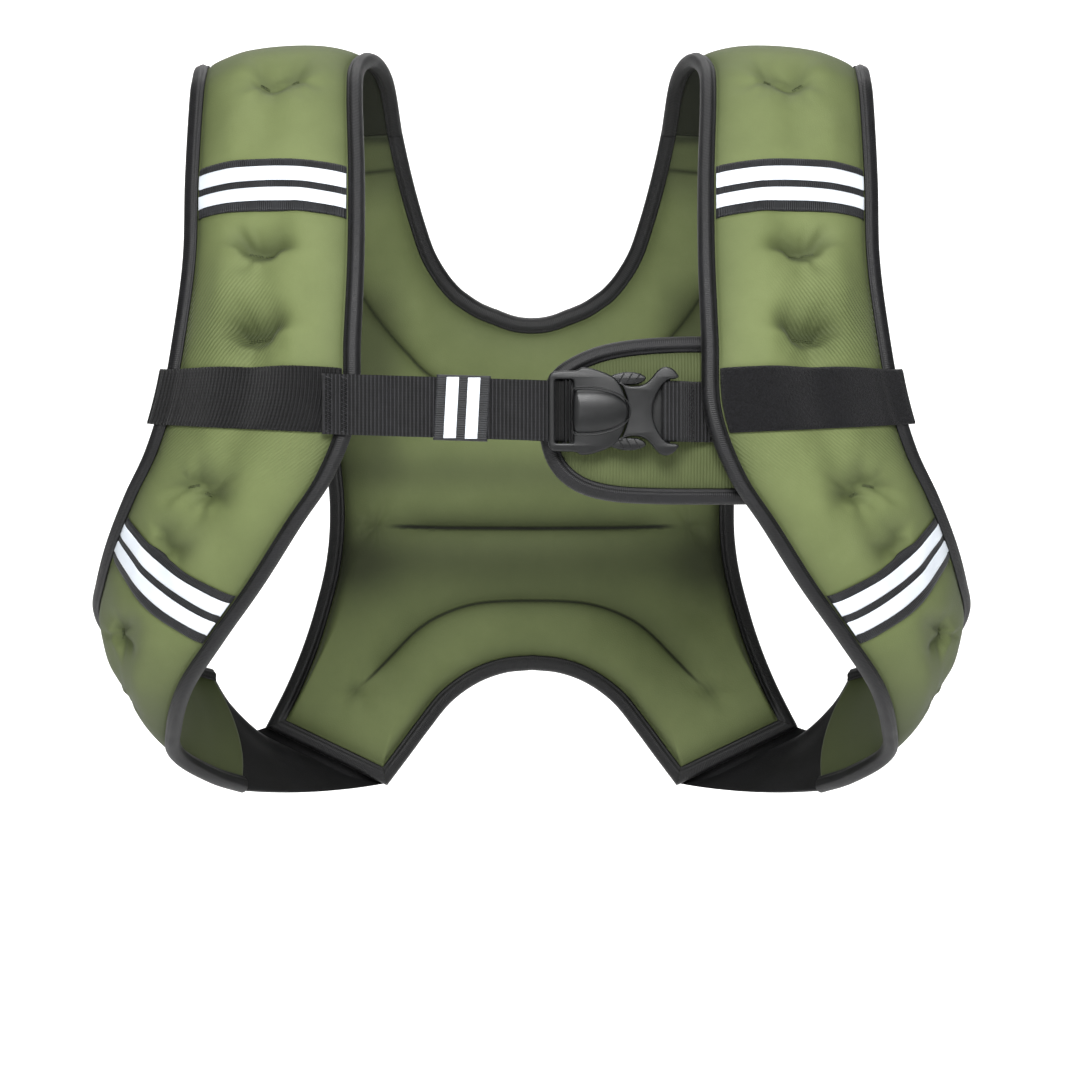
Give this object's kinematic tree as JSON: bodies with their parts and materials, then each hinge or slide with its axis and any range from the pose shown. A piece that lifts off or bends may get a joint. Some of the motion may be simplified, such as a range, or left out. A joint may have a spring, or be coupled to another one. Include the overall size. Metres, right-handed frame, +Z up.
{
  "type": "weighted vest",
  "caption": "Padded weighted vest worn over the shoulders, with quilted back panel, wrapped flank straps, chest strap and fastened side-release buckle.",
  "frame": {"origin": "midway between the two shoulder crests, at the underside of the shoulder pads, where the vest rests on a wearer", "axes": "+Z up, the front of the vest faces -Y, +X to the right of someone who looks at its front"},
  "size_m": [0.5022, 0.257, 0.4328],
  "materials": {
    "neoprene": "smooth knit-faced neoprene",
    "binding": "folded satin tape",
    "stretch": "matt stretch knit",
    "webbing": "ribbed woven webbing",
    "fuzz": "brushed loop pile",
    "tape": "woven tape",
    "reflective": "reflective film on cloth",
    "plastic": "satin moulded plastic"
  },
  "bodies": {
    "root": {"shoulder_pad_left": "neoprene", "binding_inner_left": "binding", "binding_outer_left": "binding", "tape_upper_left": "tape", "stripe_upper_a_left": "reflective", "stripe_upper_b_left": "reflective", "tape_lower_left": "tape", "stripe_lower_a_left": "reflective", "stripe_lower_b_left": "reflective", "binding_armhole_left": "binding", "binding_hem_left": "binding", "side_panel_left": "stretch", "shoulder_pad_right": "neoprene", "binding_inner_right": "binding", "binding_outer_right": "binding", "tape_upper_right": "tape", "stripe_upper_a_right": "reflective", "stripe_upper_b_right": "reflective", "tape_lower_right": "tape", "stripe_lower_a_right": "reflective", "stripe_lower_b_right": "reflective", "binding_armhole_right": "binding", "binding_hem_right": "binding", "side_panel_right": "stretch", "loop_band_left": "webbing", "fuzzy_band_right": "fuzz", "back_panel": "neoprene", "binding_neck": "binding", "binding_arch": "binding", "chest_webbing_left": "webbing", "tape_chest": "tape", "stripe_chest_a": "reflective", "stripe_chest_b": "reflective", "chest_webbing_right": "webbing", "buckle_prongs": "plastic", "buckle_receptacle": "plastic", "buckle_pad": "neoprene", "binding_buckle_pad": "binding"}
  },
  "joints": []
}
